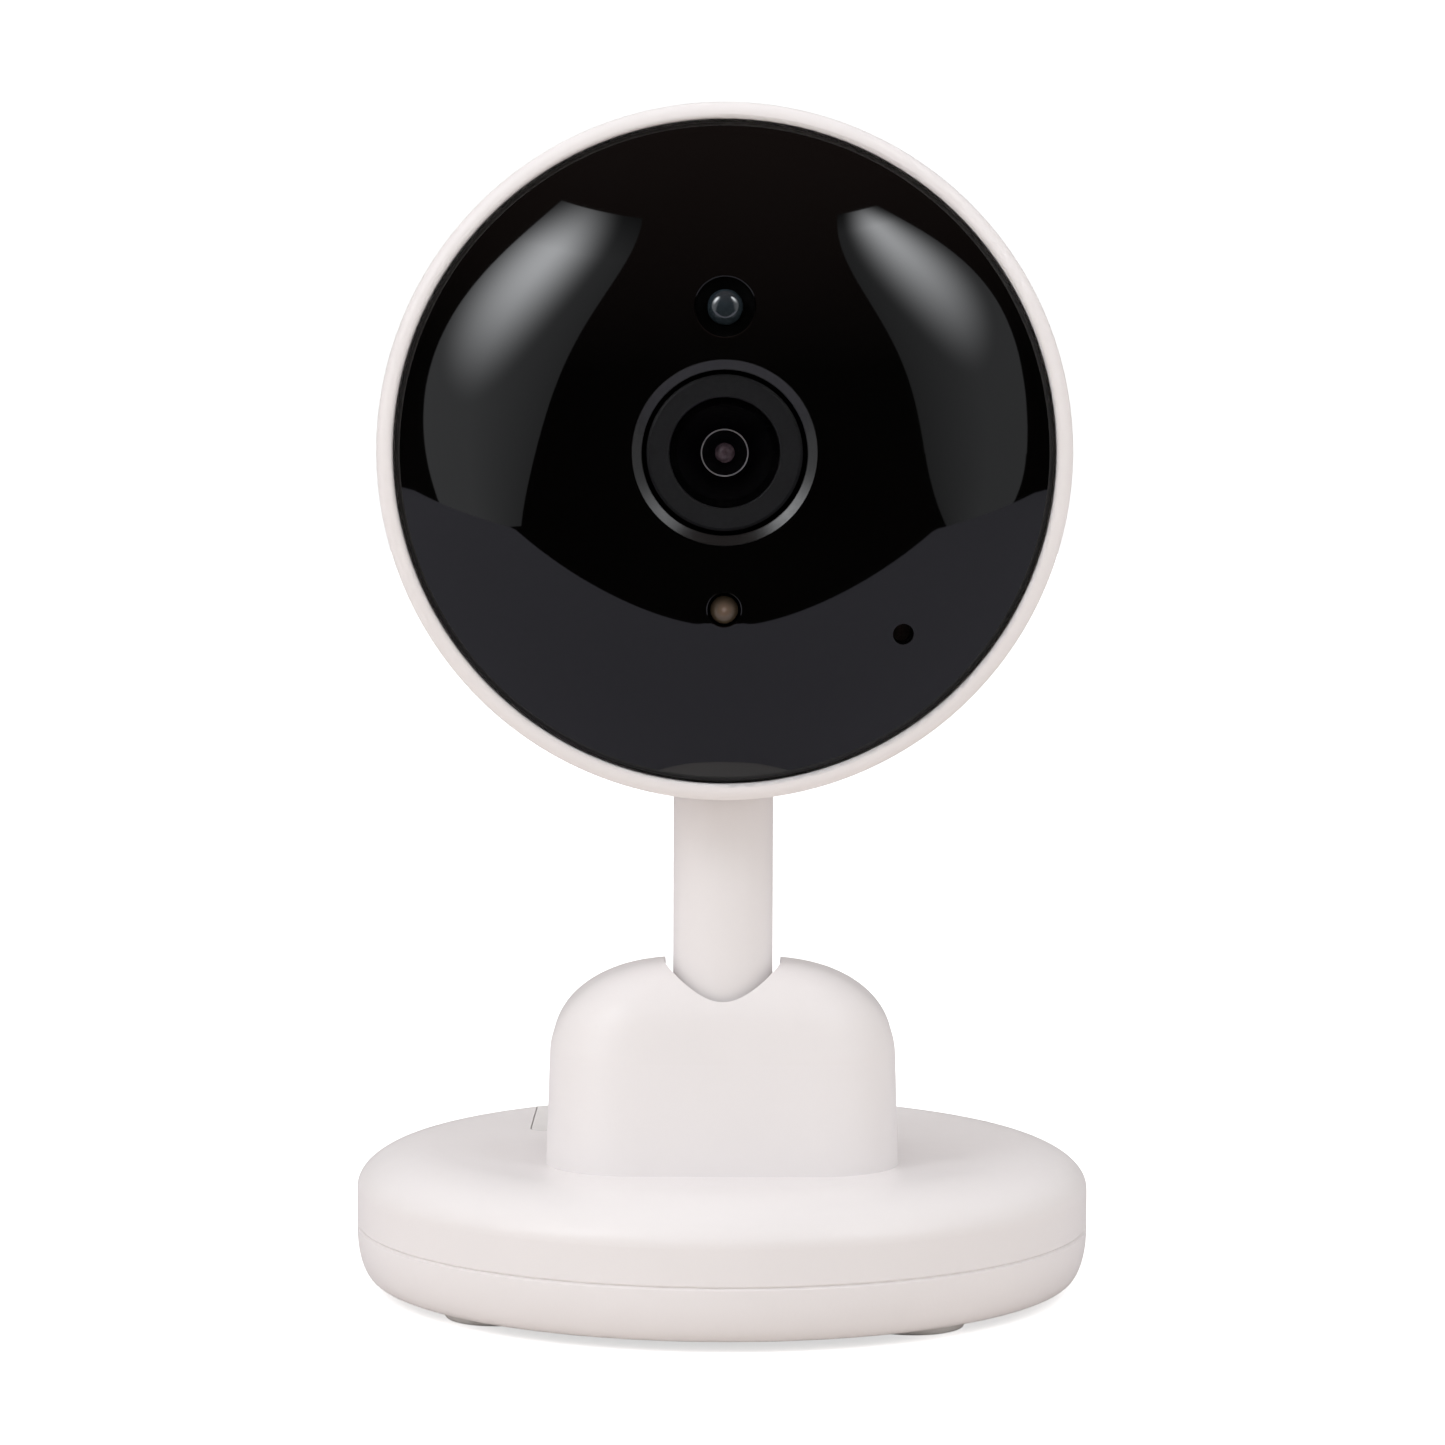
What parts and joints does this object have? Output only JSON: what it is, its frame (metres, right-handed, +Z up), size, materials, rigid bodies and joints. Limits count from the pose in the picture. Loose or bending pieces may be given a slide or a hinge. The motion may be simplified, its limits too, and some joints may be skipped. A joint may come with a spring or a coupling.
{
  "type": "baby monitor camera",
  "caption": "Baby monitor camera: a round head with a domed black window and lens, on a stem that tilts in a hinge housing on a weighted round base.",
  "frame": {"origin": "middle of the base, on the plane that its feet stand on", "axes": "+Z up, -Y towards the scene (the lens looks along -Y), +X to the right seen from the lens side"},
  "size_m": [0.07, 0.07, 0.1113],
  "materials": {
    "white_abs": "moulded ABS, fine satin texture",
    "grey_tpu": "moulded light grey TPU",
    "clear_silicone": "moulded pale silicone",
    "zinc_steel": "zinc plated plate",
    "screw_steel": "nickel plated",
    "nylon": "natural nylon",
    "black_acrylic": "polished black acrylic",
    "black_trim": "satin black plastic",
    "lens_black": "matt black plastic",
    "coated_glass": "anti-reflection coated",
    "chip_black": "matt moulded",
    "green_board": "solder mask",
    "black_board": "black solder mask",
    "connector_white": "moulded",
    "tin_plate": "tin plated",
    "grey_abs": "moulded",
    "foam": "closed-cell foam",
    "copper_laminate": "coated copper",
    "led_epoxy": "cast epoxy",
    "dark_epoxy": "cast dark epoxy",
    "amber_epoxy": "cast warm diffused epoxy"
  },
  "bodies": {
    "base": {"base_top_shell": "white_abs", "base_bottom_cover": "white_abs", "hinge_housing": "white_abs", "rear_insert": "grey_tpu", "rubber_feet": "clear_silicone", "ballast_plate": "zinc_steel", "cover_screws": "screw_steel", "housing_screws": "screw_steel", "hinge_screw": "screw_steel", "hinge_nut": "screw_steel", "spring_washer": "screw_steel", "friction_washers": "nylon"},
    "stem": {"stem": "white_abs", "swivel_washer": "screw_steel", "swivel_screw": "screw_steel"},
    "head": {"front_ring": "white_abs", "back_shell": "white_abs", "head_screws": "screw_steel", "holder_screws": "screw_steel", "front_window": "black_acrylic", "lens_trim_ring": "black_trim", "lens_barrel": "lens_black", "lens_spacer": "lens_black", "lens_holder": "lens_black", "filter_actuator": "lens_black", "sensor_sleeve": "lens_black", "lens_front_element": "coated_glass", "lens_inner_element": "coated_glass", "lens_rear_element": "coated_glass", "image_sensor": "chip_black", "processor": "chip_black", "sensor_board": "green_board", "main_board": "green_board", "led_board": "black_board", "board_connector": "connector_white", "shield_can": "tin_plate", "memory_card_socket": "tin_plate", "usb_socket": "tin_plate", "usb_tongue": "chip_black", "reset_switch": "chip_black", "speaker": "chip_black", "speaker_gasket": "foam", "wifi_antenna": "copper_laminate", "infrared_leds": "led_epoxy", "light_sensor": "dark_epoxy", "status_led": "amber_epoxy", "mic_boot": "foam", "microphone": "tin_plate"},
    "filter": {"filter_slide": "lens_black", "infrared_cut_filter": "coated_glass", "clear_filter": "coated_glass"},
    "button": {"reset_button": "grey_abs"}
  },
  "joints": [
    {"name": "stem_tilt", "type": "hinge", "parent": "base", "child": "stem", "pos_m": [0, -0.01075, 0.0195], "axis": [-1, 0, 0], "range_deg": [0, 65]},
    {"name": "head_swivel", "type": "hinge", "parent": "stem", "child": "head", "pos_m": [0, -0.01075, 0.05], "axis": [0, 0, 1], "continuous": true},
    {"name": "filter_switch", "type": "slide", "parent": "head", "child": "filter", "axis": [-1, 0, 0], "range_m": [0, 0.0048]},
    {"name": "reset_press", "type": "slide", "parent": "head", "child": "button", "axis": [0, -1, 0], "range_m": [0, 0.0003], "stiffness_N_per_m": 600}
  ]
}
